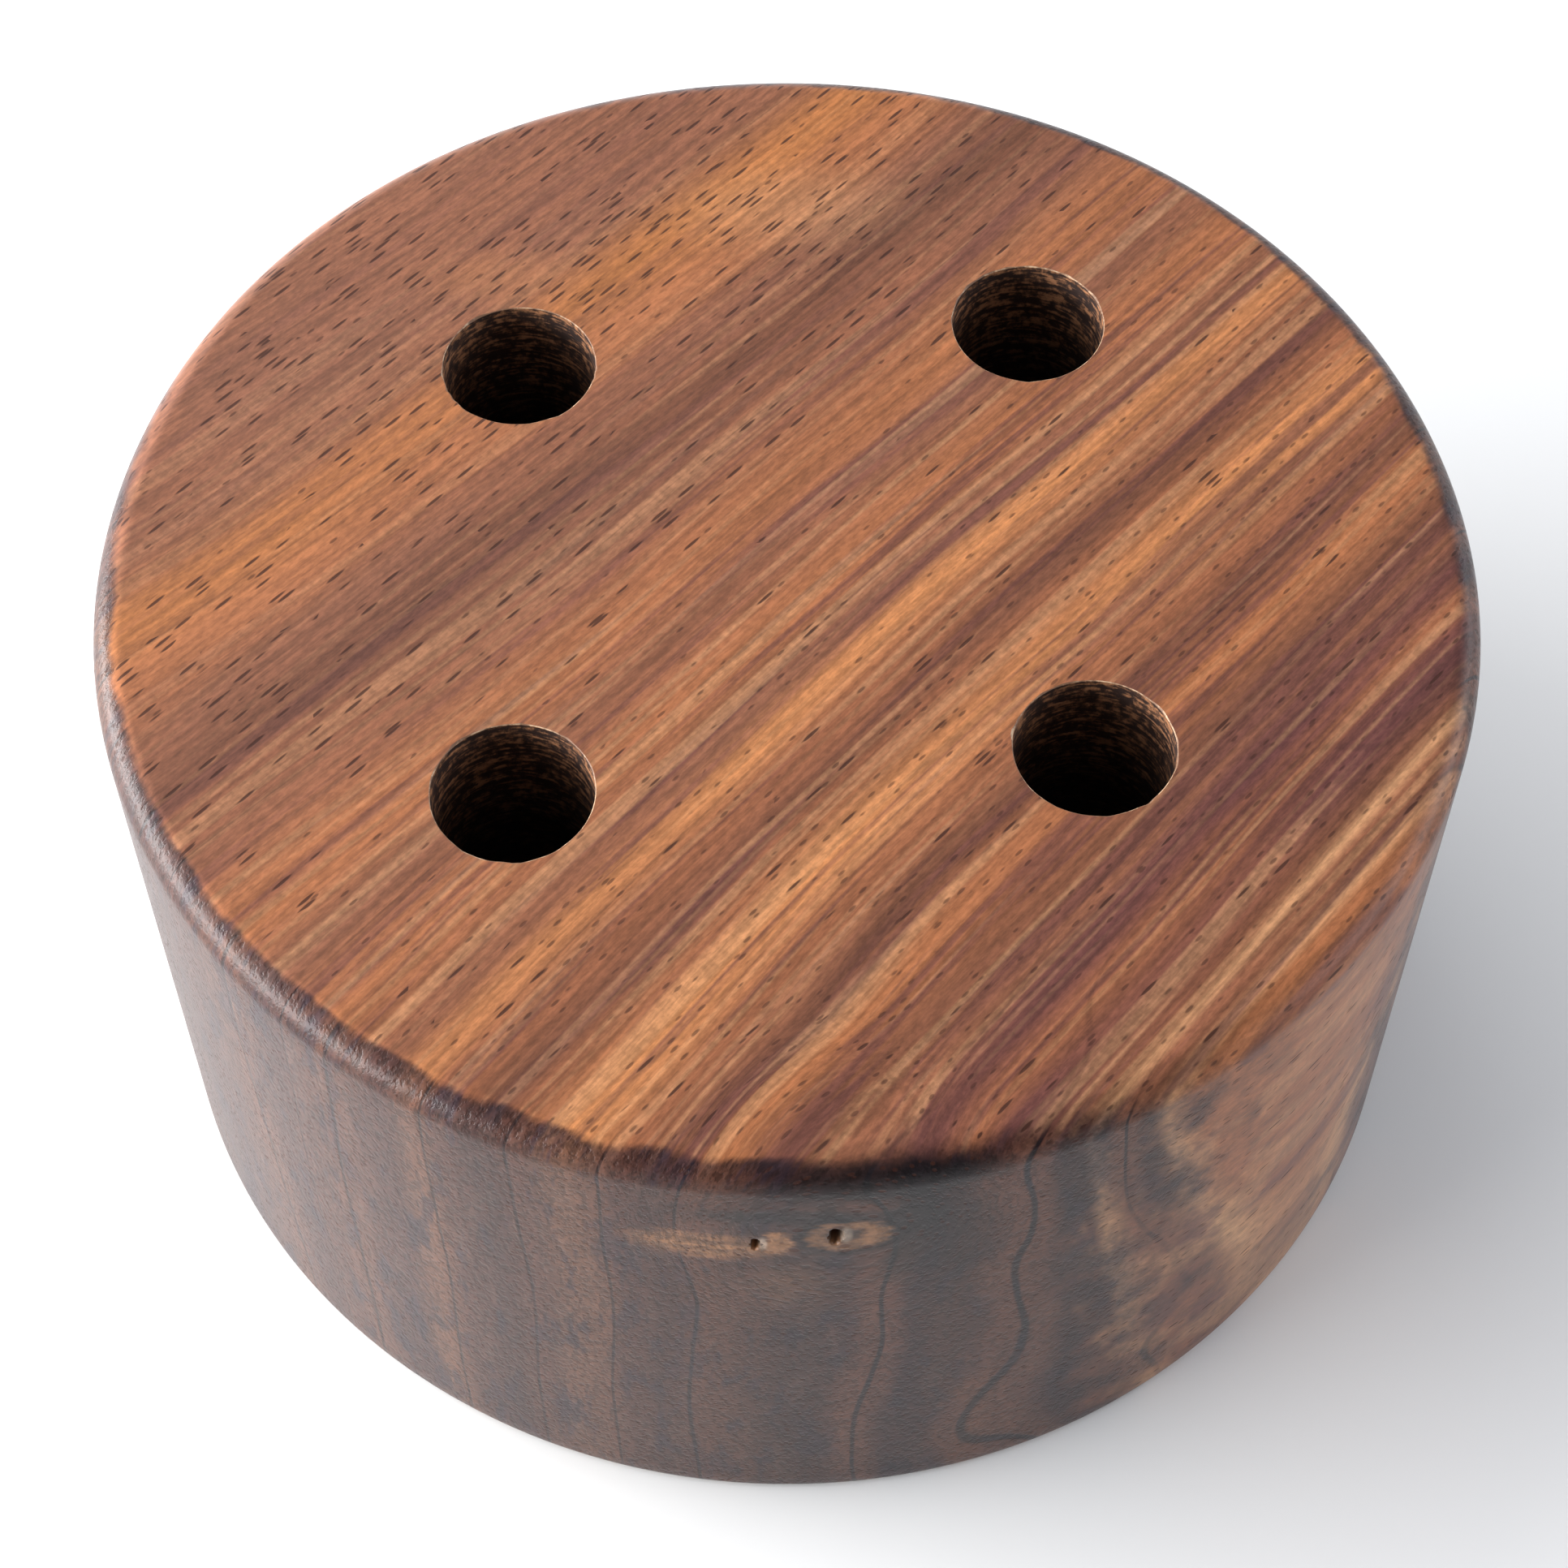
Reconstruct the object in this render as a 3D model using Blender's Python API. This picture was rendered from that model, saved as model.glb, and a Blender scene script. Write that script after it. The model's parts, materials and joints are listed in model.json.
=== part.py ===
"""Dip pen holder: a low round block of black walnut with four blind bores.

Dip pens stand nib up in the bores.  The block is turned from one piece of wood: a straight
side, a sanded round along the top rim, a small edge break round the base, and four upright
bores drilled with a brad-point bit, which leaves a flat floor with a small centre dimple.

Metres, +Z up.  The origin is the centre of the base, on the surface the block stands on.
+X and +Y run along the sides of the square that the bores are laid out on.
"""

import math

import bmesh
import bpy

# Driving dimensions: a 4 inch round turned from a 2 inch plank.
INCH = 0.0254
BLOCK_DIAMETER = 4 * INCH
BLOCK_HEIGHT = 2 * INCH
RIM_ROUND = 0.0023            # radius sanded along the top rim
BASE_EDGE_ROUND = 0.0008      # edge break round the base

BORE_DIAMETER = 0.0116        # clears the 8 to 10 mm shaft of a dip pen
BORE_DEPTH = 1.5 * INCH
DIMPLE_DIAMETER = 0.0030      # left by the centre point of the bit
DIMPLE_DEPTH = 0.0012

# The bores sit on a square, and each centre misses its corner by what hand marking allows.
BORE_SPACING = 0.0400
BORE_SQUARE_OFFSET = (0.0002, 0.0016)
BORE_DRIFT = {
    (-1, 1): (0.0010, -0.0008),
    (1, 1): (0.0001, 0.0004),
    (-1, -1): (-0.0009, -0.0001),
    (1, -1): (0.0002, 0.0005),
}

# Facets.
BLOCK_SEGMENTS = 128
ROUND_STEPS = 6
BORE_SEGMENTS = 48
CUTTER_OVERSHOOT = 0.0050     # how far a cutter stands above the top face
MERGE_DISTANCE = 0.00001
SMOOTH_ANGLE = math.radians(30)

OILED_WALNUT = (0.150, 0.062, 0.034, 1.0)
OILED_ROUGHNESS = 0.42


def clear_scene():
    """Remove every object, so that the model starts in an empty scene."""
    for item in list(bpy.data.objects):
        bpy.data.objects.remove(item, do_unlink=True)


def oiled_walnut():
    """The one material: oiled black walnut."""
    material = bpy.data.materials.new("oiled_walnut")
    material.use_nodes = True
    shader = material.node_tree.nodes["Principled BSDF"]
    shader.inputs["Base Color"].default_value = OILED_WALNUT
    shader.inputs["Roughness"].default_value = OILED_ROUGHNESS
    shader.inputs["Metallic"].default_value = 0.0
    return material


def quarter_round(centre_radius, centre_z, radius, start_angle):
    """Points (distance from axis, z) along a quarter circle, turning anticlockwise."""
    points = []
    for step in range(ROUND_STEPS + 1):
        angle = start_angle + math.pi / 2 * step / ROUND_STEPS
        points.append(
            (centre_radius + radius * math.cos(angle), centre_z + radius * math.sin(angle))
        )
    return points


def block_profile():
    """The block's half section, from the edge of its base up to the edge of its top face."""
    radius = BLOCK_DIAMETER / 2
    base_edge = quarter_round(
        radius - BASE_EDGE_ROUND, BASE_EDGE_ROUND, BASE_EDGE_ROUND, -math.pi / 2
    )
    rim = quarter_round(radius - RIM_ROUND, BLOCK_HEIGHT - RIM_ROUND, RIM_ROUND, 0.0)
    return base_edge + rim


def bore_profile():
    """The half section of the space that one pass of the bit clears."""
    floor = BLOCK_HEIGHT - BORE_DEPTH
    return [
        (0.0, floor - DIMPLE_DEPTH),
        (DIMPLE_DIAMETER / 2, floor),
        (BORE_DIAMETER / 2, floor),
        (BORE_DIAMETER / 2, BLOCK_HEIGHT + CUTTER_OVERSHOOT),
    ]


def turned_solid(name, profile, segments, centre):
    """A closed round solid: the profile spun about its axis, its open ends filled flat."""
    mesh = bpy.data.meshes.new(name)
    work = bmesh.new()
    verts = [work.verts.new((radius, 0.0, z)) for radius, z in profile]
    edges = [work.edges.new(pair) for pair in zip(verts, verts[1:])]
    bmesh.ops.spin(
        work,
        geom=verts + edges,
        cent=(0.0, 0.0, 0.0),
        axis=(0.0, 0.0, 1.0),
        angle=2 * math.pi,
        steps=segments,
        use_duplicate=False,
    )
    bmesh.ops.remove_doubles(work, verts=work.verts, dist=MERGE_DISTANCE)
    open_edges = [edge for edge in work.edges if edge.is_boundary]
    bmesh.ops.edgeloop_fill(work, edges=open_edges)
    bmesh.ops.recalc_face_normals(work, faces=work.faces)
    work.to_mesh(mesh)
    work.free()
    mesh.shade_smooth()
    mesh.set_sharp_from_angle(angle=SMOOTH_ANGLE)
    solid = bpy.data.objects.new(name, mesh)
    solid.location = (centre[0], centre[1], 0.0)
    bpy.context.scene.collection.objects.link(solid)
    return solid


def bore_centre(side, depth):
    """Where a bore stands; side is -1 left or 1 right, depth is -1 front or 1 back."""
    drift = BORE_DRIFT[(side, depth)]
    return (
        BORE_SQUARE_OFFSET[0] + side * BORE_SPACING / 2 + drift[0],
        BORE_SQUARE_OFFSET[1] + depth * BORE_SPACING / 2 + drift[1],
    )


def drill(block):
    """Cut the four bores into the block."""
    for number, corner in enumerate(BORE_DRIFT, start=1):
        cutter = turned_solid(
            f"bore_cutter_{number}", bore_profile(), BORE_SEGMENTS, bore_centre(*corner)
        )
        cutter.hide_render = True
        cutter.display_type = "WIRE"
        cut = block.modifiers.new(f"bore_{number}", "BOOLEAN")
        cut.operation = "DIFFERENCE"
        cut.solver = "EXACT"
        cut.object = cutter


def main():
    """Build the block and drill it."""
    clear_scene()
    block = turned_solid("block", block_profile(), BLOCK_SEGMENTS, (0.0, 0.0))
    block.data.materials.append(oiled_walnut())
    drill(block)


main()
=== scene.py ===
"""Looks of a dip pen holder: a round block turned from oiled black walnut, with four bores.

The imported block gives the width, the height and the bores' places.  One closed mesh stands for
it: the base, the turned side with its two knot pits, the sanded rim, the flat top and the four
drilled bores.  The wood is a figure that runs through the whole block, so that the streaks on
the top carry on over the rim and down the side, as they do in one piece of wood.
"""

import json
import logging
import math
from dataclasses import dataclass, field
from enum import IntEnum
from typing import Any, Iterable, Sequence

import bpy
import numpy as np
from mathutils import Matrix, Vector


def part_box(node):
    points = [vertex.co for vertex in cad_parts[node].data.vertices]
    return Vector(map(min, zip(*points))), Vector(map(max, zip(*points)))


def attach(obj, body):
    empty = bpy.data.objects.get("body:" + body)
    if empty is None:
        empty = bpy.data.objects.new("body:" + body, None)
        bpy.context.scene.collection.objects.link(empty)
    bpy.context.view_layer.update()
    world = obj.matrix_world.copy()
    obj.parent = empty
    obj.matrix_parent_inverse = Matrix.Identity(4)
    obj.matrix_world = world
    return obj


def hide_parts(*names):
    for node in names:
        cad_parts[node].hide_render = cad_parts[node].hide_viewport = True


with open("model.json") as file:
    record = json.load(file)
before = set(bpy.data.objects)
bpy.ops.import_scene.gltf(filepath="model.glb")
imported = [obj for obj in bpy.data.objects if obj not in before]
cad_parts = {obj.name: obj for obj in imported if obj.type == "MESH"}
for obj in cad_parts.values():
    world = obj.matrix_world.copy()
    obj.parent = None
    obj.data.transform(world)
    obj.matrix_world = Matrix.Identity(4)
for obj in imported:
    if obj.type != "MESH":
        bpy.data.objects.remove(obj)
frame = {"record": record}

logging.basicConfig(level=logging.INFO, format="%(message)s")
log = logging.getLogger("dip_pen_holder")

MM = 0.001
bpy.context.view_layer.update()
TURN = 2.0 * math.pi


def linear(hex_colour: str) -> tuple[float, float, float, float]:
    """Turn an sRGB hex value into the linear colour that a shader takes.

    Args:
        hex_colour: six hex digits, such as "a86f4c".

    Returns:
        Red, green, blue and an alpha of 1, each from 0 to 1.
    """
    channels = [int(hex_colour[i:i + 2], 16) / 255.0 for i in (0, 2, 4)]
    rgb = [c / 12.92 if c <= 0.04045 else ((c + 0.055) / 1.055) ** 2.4 for c in channels]
    return (rgb[0], rgb[1], rgb[2], 1.0)


def smoothstep(low: float, high: float, value: np.ndarray) -> np.ndarray:
    """Rise smoothly from 0 at low to 1 at high.

    Args:
        low: where the step starts; it may be above high, which turns the step round.
        high: where the step ends.
        value: the values to look up.

    Returns:
        The step at each value, 3t^2 - 2t^3 of the share t of the way from low to high.
    """
    share = np.clip((value - low) / (high - low), 0.0, 1.0)
    return share * share * (3.0 - 2.0 * share)


class Finish(IntEnum):
    """The finishes on the block's mesh, in the order of its material slots."""

    SANDED = 0
    DRILLED = 1
    TORN_EDGE = 2


# ---------------------------------------------------------------------------------------------
# Meshes
# ---------------------------------------------------------------------------------------------


@dataclass
class Sheet:
    """A surface on a grid: rows by columns of points, and a finish for each band of faces.

    Rows run so that (next column) x (next row) points out of the wood.
    """

    points: np.ndarray
    finishes: np.ndarray

    def faces(self) -> np.ndarray:
        """Give the grid's quads as rows of four indices into the flattened points."""
        rows, columns = self.points.shape[:2]
        index = np.arange(rows * columns).reshape(rows, columns)
        corners = (index[:-1, :-1], index[:-1, 1:], index[1:, 1:], index[1:, :-1])
        return np.stack(corners, axis=-1).reshape(-1, 4)

    def face_finishes(self) -> np.ndarray:
        """Give the finish of each quad, in the order of faces()."""
        return np.repeat(self.finishes, self.points.shape[1] - 1)


def welded_object(
    name: str, sheets: Sequence[Sheet], weld: float = 1e-7, sharp: float = math.radians(32.0)
) -> bpy.types.Object:
    """Join sheets along the edges they share, and make them one mesh object.

    Points closer than the weld step become one vertex.  A quad that loses a corner at a pole
    becomes a triangle, and one that loses two goes.

    Args:
        name: the object's name.
        sheets: the surfaces, which meet point for point along their shared edges.
        weld: the step that points are rounded to when they are compared, in metres.
        sharp: the angle between two faces from which their edge shades as a sharp one.

    Returns:
        The object, at the origin, linked to the scene.
    """
    points = np.concatenate([sheet.points.reshape(-1, 3) for sheet in sheets])
    starts = np.cumsum([0] + [sheet.points.shape[0] * sheet.points.shape[1] for sheet in sheets])
    quads = np.concatenate([sheet.faces() + start for sheet, start in zip(sheets, starts)])
    finishes = np.concatenate([sheet.face_finishes() for sheet in sheets])
    keys = np.round(points / weld).astype(np.int64)
    _, first, merged = np.unique(keys, axis=0, return_index=True, return_inverse=True)
    vertices = points[first]
    quads = merged.reshape(-1)[quads]

    repeats = quads == np.roll(quads, -1, axis=1)
    kept = repeats.sum(axis=1) < 2
    quads, finishes, repeats = quads[kept], finishes[kept], repeats[kept]
    used = ~repeats
    sizes = used.sum(axis=1)
    loops = quads[used]

    mesh = bpy.data.meshes.new(name)
    mesh.vertices.add(len(vertices))
    mesh.vertices.foreach_set("co", vertices.ravel())
    mesh.loops.add(len(loops))
    mesh.loops.foreach_set("vertex_index", loops.astype(np.int32))
    mesh.polygons.add(len(sizes))
    mesh.polygons.foreach_set("loop_start", np.concatenate([[0], np.cumsum(sizes)[:-1]]).astype(np.int32))
    mesh.polygons.foreach_set("material_index", finishes.astype(np.int32))
    mesh.update(calc_edges=True)
    mesh.validate()
    mesh.shade_smooth()
    mesh.set_sharp_from_angle(angle=sharp)
    made = bpy.data.objects.new(name, mesh)
    bpy.context.scene.collection.objects.link(made)
    return made


# ---------------------------------------------------------------------------------------------
# Materials
# ---------------------------------------------------------------------------------------------


class Graph:
    """The node tree of a material or a world, emptied, and the one way to add a node to it."""

    def __init__(self, owner: bpy.types.Material | bpy.types.World) -> None:
        """Turn the owner's nodes on and clear them.

        Args:
            owner: the material or the world.
        """
        self.owner = owner
        owner.use_nodes = True
        self.tree = owner.node_tree
        self.tree.nodes.clear()

    def add(self, kind: str, inputs: dict[str | int, Any] | None = None, **settings: Any) -> Any:
        """Add a node, set it up and feed it.

        Args:
            kind: the node's type without the word ShaderNode before it, such as "Math".
            inputs: for each input's name or number, a value, a node whose first live output
                feeds it, or a node's output.
            settings: the node's own settings, such as operation="MULTIPLY".

        Returns:
            The node.
        """
        made = self.tree.nodes.new("ShaderNode" + kind)
        for key, value in settings.items():
            setattr(made, key, value)
        for key, value in (inputs or {}).items():
            if isinstance(value, bpy.types.Node):
                value = next(output for output in value.outputs if output.enabled)
            if isinstance(value, bpy.types.NodeSocket):
                self.tree.links.new(value, made.inputs[key])
            else:
                made.inputs[key].default_value = value
        return made

    def product(self, first: Any, *factors: Any) -> Any:
        """Multiply values together, one node after another.

        Args:
            first: the first value.
            factors: the others.

        Returns:
            The node that holds the product.
        """
        for factor in factors:
            first = self.add("Math", {0: first, 1: factor}, operation="MULTIPLY")
        return first

    def finish(self, shader: Any) -> Any:
        """Feed the shader to the output.

        Args:
            shader: the shader node.

        Returns:
            The finished material or world.
        """
        is_world = isinstance(self.owner, bpy.types.World)
        kind = "OutputWorld" if is_world else "OutputMaterial"
        self.add(kind, {"Surface": shader})
        return self.owner


@dataclass(frozen=True)
class Fade:
    """A strength that changes while a value runs between two marks, and holds outside them.

    Attributes:
        start, stop: the marks; start may be above stop.
        first, last: the strength at each mark.
        eased: whether it eases in and out, instead of running straight.
    """

    start: float = 0.0
    stop: float = 1.0
    first: float = 0.0
    last: float = 1.0
    eased: bool = False

    def build(self, graph: Graph, value: Any) -> Any:
        """Build the fade.

        Args:
            graph: the material or the world to build in.
            value: the value that runs between the marks.

        Returns:
            The node that holds the strength.
        """
        ends = {"From Min": self.start, "From Max": self.stop, "To Min": self.first, "To Max": self.last}
        course = "SMOOTHSTEP" if self.eased else "LINEAR"
        return graph.add("MapRange", {"Value": value, **ends}, interpolation_type=course)


@dataclass(frozen=True)
class Band:
    """One stop of the wood's colour bands.

    Attributes:
        across: distance across the grain from the block's axis, in millimetres.
        colour: the wood's own colour there, as an sRGB hex value.
    """

    across: float
    colour: str


@dataclass(frozen=True)
class Spot:
    """A soft-edged ellipsoid of colour in the wood, given in millimetres in the row frame.

    Attributes:
        centre: its centre.
        half: its half axes.
        colour: the colour it brings, as an sRGB hex value.
        strength: how much of that colour it brings at its centre.
        edge: the share of the half axes over which it fades, each way from its outline.
    """

    centre: tuple[float, float, float]
    half: tuple[float, float, float]
    colour: str
    strength: float
    edge: float


@dataclass(frozen=True)
class Streaks:
    """A set of streaks along the grain, picked out of a stretched noise.

    Attributes:
        length, width, height: the noise's cell along, across and up, in millimetres.
        detail: how many finer octaves are added.
        roughness: how strong the finer octaves are.
        low, high: the noise values between which a streak fades in.
        offset: a shift of the noise, so that two sets differ.
    """

    length: float
    width: float
    height: float
    detail: float
    roughness: float
    low: float
    high: float
    offset: float

    def build(self, graph: Graph, lanes: Any) -> Any:
        """Build the streaks' mask.

        Args:
            graph: the material to build in.
            lanes: the along, bent across and up coordinates as a vector.

        Returns:
            The node whose value is 1 on a streak and 0 off it.
        """
        cells = graph.add(
            "VectorMath",
            {0: lanes, 1: (1 / self.length, 1 / self.width, 1 / self.height), 2: (self.offset,) * 3},
            operation="MULTIPLY_ADD",
        )
        noise = graph.add(
            "TexNoise",
            {"Vector": cells, "Scale": 1.0, "Detail": self.detail, "Roughness": self.roughness},
        )
        return Fade(self.low, self.high, eased=True).build(graph, noise)


@dataclass(frozen=True)
class Pores:
    """The wood's vessels: slim spindles along the grain, dashes on its face, dots on its end.

    Attributes:
        length, width: the cell that holds one pore, along and across the grain, in millimetres.
        share: the pore's half size as a share of its cell.
        softness: the share of the pore over which its edge fades.
    """

    length: float
    width: float
    share: float
    softness: float

    def build(self, graph: Graph, grain: Any, density: Any) -> Any:
        """Build the pores' mask.

        Args:
            graph: the material to build in.
            grain: the place in the grain's axes.
            density: the share of the cells that hold a pore.

        Returns:
            The node whose value is 1 in a pore and 0 outside it.
        """
        cells = graph.add(
            "VectorMath",
            {0: grain, 1: (1 / self.length, 1 / self.width, 1 / self.width)},
            operation="MULTIPLY",
        )
        voronoi = graph.add("TexVoronoi", {"Vector": cells, "Scale": 1.0})
        chance = graph.add("SeparateColor", {"Color": voronoi.outputs["Color"]})
        held = graph.add("Math", {0: chance, 1: density}, operation="LESS_THAN")
        edge = Fade(self.share, self.share * (1.0 - self.softness), eased=True)
        return graph.product(held, edge.build(graph, voronoi.outputs["Distance"]))


PURPLE_UMBER = "5b3531"
UMBER = "69412f"
HEART_BROWN = "7d4f39"
RED_BROWN = "895438"
TAN = "9b603c"
ORANGE_TAN = "a46638"
GOLD = "b57648"
STRAW = "be8e64"
PORE_BROWN = "381b11"
LATEWOOD = "1e1213"
CHARCOAL = "171315"
SLATE = "2b2730"
SLATE_BROWN = "1c1315"
KNOT_TAN = "8f6443"
TORN_FIBRE_AND_HIGHLIGHT = "a3907f"

FIGURE_BANDS = (
    Band(-51.5, HEART_BROWN),
    Band(-50.2, TAN),
    Band(-48.0, TAN),
    Band(-47.0, STRAW),
    Band(-46.6, UMBER),
    Band(-45.4, HEART_BROWN),
    Band(-44.8, STRAW),
    Band(-44.3, UMBER),
    Band(-41.5, PURPLE_UMBER),
    Band(-39.0, RED_BROWN),
    Band(-37.0, PURPLE_UMBER),
    Band(-34.5, HEART_BROWN),
    Band(-32.5, UMBER),
    Band(-28.5, TAN),
    Band(-25.5, UMBER),
    Band(-23.0, RED_BROWN),
    Band(-19.5, GOLD),
    Band(-16.5, RED_BROWN),
    Band(-15.0, UMBER),
    Band(-12.0, RED_BROWN),
    Band(-9.8, GOLD),
    Band(-7.5, HEART_BROWN),
    Band(-3.0, TAN),
    Band(1.5, HEART_BROWN),
    Band(5.0, TAN),
    Band(11.0, HEART_BROWN),
    Band(16.5, UMBER),
    Band(20.5, HEART_BROWN),
    Band(24.5, TAN),
    Band(29.5, ORANGE_TAN),
    Band(35.0, HEART_BROWN),
    Band(47.0, HEART_BROWN),
)

KNOT_SPOTS = (
    Spot((3.5, -51.0, 49.2), (8.0, 3.0, 2.0), CHARCOAL, 0.90, 0.45),
    Spot((4.6, -51.0, 44.2), (2.3, 4.0, 3.6), CHARCOAL, 0.90, 0.50),
    Spot((8.0, -51.0, 40.0), (3.0, 4.0, 6.5), CHARCOAL, 0.50, 0.60),
    Spot((3.8, -51.0, 38.6), (1.5, 4.0, 3.0), CHARCOAL, 0.65, 0.60),
    Spot((-3.5, -51.0, 45.6), (7.5, 4.0, 1.0), CHARCOAL, 0.70, 0.60),
    Spot((-9.4, -50.0, 41.0), (4.4, 5.0, 1.5), KNOT_TAN, 0.85, 0.60),
    Spot((-9.0, -50.0, 41.6), (3.6, 5.0, 0.35), SLATE_BROWN, 0.50, 0.70),
    Spot((-9.6, -50.0, 40.5), (3.2, 5.0, 0.25), SLATE_BROWN, 0.45, 0.70),
    Spot((-4.7, -50.0, 42.0), (0.8, 5.0, 1.5), KNOT_TAN, 0.90, 0.40),
    Spot((-3.8, -50.0, 35.2), (2.4, 5.0, 2.6), KNOT_TAN, 0.22, 0.90),
    Spot((0.2, -50.0, 42.7), (3.9, 5.0, 2.9), CHARCOAL, 0.80, 0.25),
    Spot((0.2, -50.0, 42.7), (2.8, 5.0, 1.9), KNOT_TAN, 0.95, 0.25),
    Spot((-0.3, -50.0, 42.8), (1.4, 5.0, 1.4), SLATE_BROWN, 0.85, 0.50),
)

# Pale crescents on the right lips of the two knot pits: torn fibre, and a painted highlight where light
# from the left catches the lip.
KNOT_LIPS_AND_HIGHLIGHTS = (
    Spot((0.0, -50.0, 42.8), (0.42, 5.0, 1.0), TORN_FIBRE_AND_HIGHLIGHT, 0.75, 0.45),
    Spot((-5.62, -50.0, 41.8), (0.32, 5.0, 0.8), TORN_FIBRE_AND_HIGHLIGHT, 0.70, 0.45),
)

TORN_PATCHES = (
    Spot((3.0, 35.5, 50.8), (7.0, 3.4, 2.0), STRAW, 0.26, 0.85),
    Spot((-20.0, 30.0, 50.8), (5.0, 2.2, 2.0), GOLD, 0.25, 0.80),
)


@dataclass(frozen=True)
class WalnutFigure:
    """The figure of the plank that the block was turned from, as a field through the wood.

    The fibres lie flat and run from front left to back right.  The growth rings stand nearly
    upright, so that their colour bands show as streaks on the top, as upright lines where the
    side cuts across the fibres, and as long streaks where it runs with them.

    Attributes:
        heading: the fibres' direction, anticlockwise from +X.
        reach: how far from the axis the colour bands go, in millimetres.
        wander: how far a streak strays sideways, in millimetres.
        wander_cell: how slowly it strays along, across and up, in millimetres.
        fan, fan_growth: how the streaks spread per millimetre along: at the axis, and its change.
        top: the height of the flat top, in millimetres.
        lean: how far the streaks lean for each millimetre down, by the place across.
        ring_spacing, ring_unevenness: the growth rings' usual width, and how far it strays.
        sway: how far the ring lines sway, in millimetres, by the place across.
        line, beside: the share of a ring that its dark line and the wood beside it take.
        knot: the middle of the knot that the rings bend round, in millimetres.
        knot_pull: how much a place is drawn in towards the knot, by its distance from it.
        cut: how squarely the surface has to cut across the fibres to be end grain.
        pale, dark, fine, fibre, patches, ripple, clusters: the streaks and the flecks.
        speck: the speckle of end grain, drawn about twice as coarse as life, so that it still
            shows when the whole block is in view.
        long_pores, short_pores: the vessels on the face, also a little coarser than life.
    """

    heading: float = math.radians(43.0)
    reach: float = 52.0
    wander: float = 1.9
    wander_cell: tuple[float, float, float] = (60, 20, 45)
    fan: float = 0.0013
    fan_growth: float = -0.0000195
    top: float = 50.8
    lean: Fade = Fade(-33.0, -50.0, 0.0, 0.085)
    ring_spacing: float = 5.4
    ring_unevenness: float = 9.0
    sway: Fade = Fade(-26.0, -41.0, 1.0, 8.0, eased=True)
    line: Fade = Fade(0.030, 0.010, eased=True)
    beside: Fade = Fade(0.30, 0.08, eased=True)
    knot: tuple[float, float, float] = (-1.0, -50.0, 43.0)
    knot_pull: Fade = Fade(1.5, 15.0, -0.62, 0.0, eased=True)
    cut: Fade = Fade(0.50, 0.78, eased=True)
    pale: Streaks = Streaks(80.0, 1.3, 5.0, 2.0, 0.6, 0.52, 0.66, 3.7)
    dark: Streaks = Streaks(60.0, 1.7, 6.0, 3.0, 0.65, 0.50, 0.64, 11.3)
    fine: Streaks = Streaks(20.0, 0.58, 1.3, 3.5, 0.7, 0.34, 0.66, 5.1)
    fibre: Streaks = Streaks(1.0, 0.32, 0.32, 3.0, 0.7, 0.30, 0.70, 8.9)
    patches: Streaks = Streaks(28.0, 9.0, 20.0, 1.0, 0.5, 0.35, 0.65, 2.2)
    ripple: Streaks = Streaks(0.50, 1.8, 2.2, 2.0, 0.6, 0.35, 0.65, 6.6)
    clusters: Streaks = Streaks(14.0, 5.0, 9.0, 1.0, 0.5, 0.38, 0.62, 9.7)
    speck: Streaks = Streaks(0.60, 0.42, 0.62, 2.0, 0.6, 0.45, 0.62, 4.4)
    long_pores: Pores = Pores(3.4, 0.48, 0.33, 0.40)
    short_pores: Pores = Pores(1.6, 0.48, 0.32, 0.45)

    def coordinates(self, graph: Graph) -> tuple[Any, Any, Any]:
        """Build the grain's own coordinates, in millimetres.

        The across coordinate is the plain distance across the fibres, bent by a slow noise
        and by a fan, so that the streaks wander and spread as they do in the plank.  Near the
        knot the place is first drawn in towards the knot, which makes the rings bulge round it.

        Args:
            graph: the material to build in.

        Returns:
            The place in the block, the place in the grain's axes, and the along, bent across
            and up coordinates as a vector, all in millimetres.
        """
        place = graph.add(
            "VectorMath",
            {0: graph.add("TexCoord").outputs["Object"], "Scale": 1 / MM},
            operation="SCALE",
        )
        off = graph.add("VectorMath", {0: place, 1: self.knot}, operation="SUBTRACT")
        span = graph.add("VectorMath", {0: off}, operation="LENGTH").outputs["Value"]
        pull = self.knot_pull.build(graph, span)
        drawn = graph.add(
            "VectorMath",
            {0: place, 1: graph.add("VectorMath", {0: off, "Scale": pull}, operation="SCALE")},
            operation="ADD",
        )
        grain = graph.add("Mapping", {"Vector": drawn, "Rotation": (0.0, 0.0, -self.heading)})
        axes = graph.add("SeparateXYZ", {0: grain})
        along, across = axes.outputs["X"], axes.outputs["Y"]
        rates = tuple(1 / cell for cell in self.wander_cell)
        slow = graph.add("VectorMath", {0: grain, 1: rates}, operation="MULTIPLY")
        stray = graph.add("TexNoise", {"Vector": slow, "Scale": 1.0, "Detail": 1.5})
        centred = graph.add("Math", {0: stray, 1: 0.5}, operation="SUBTRACT")
        strayed = graph.add(
            "Math", {0: centred, 1: 2 * self.wander, 2: across}, operation="MULTIPLY_ADD"
        )
        fan = graph.add("Math", {0: along, 1: self.fan_growth, 2: self.fan}, operation="MULTIPLY_ADD")
        product = graph.add("Math", {0: along, 1: across}, operation="MULTIPLY")
        fanned = graph.add("Math", {0: product, 1: fan, 2: strayed}, operation="MULTIPLY_ADD")
        lean = self.lean.build(graph, across)
        depth = graph.add("Math", {0: self.top, 1: axes.outputs["Z"]}, operation="SUBTRACT")
        bent = graph.add("Math", {0: depth, 1: lean, 2: fanned}, operation="MULTIPLY_ADD")
        lanes = graph.add("CombineXYZ", {0: along, 1: bent, 2: axes.outputs["Z"]})
        return place, grain, lanes

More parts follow.
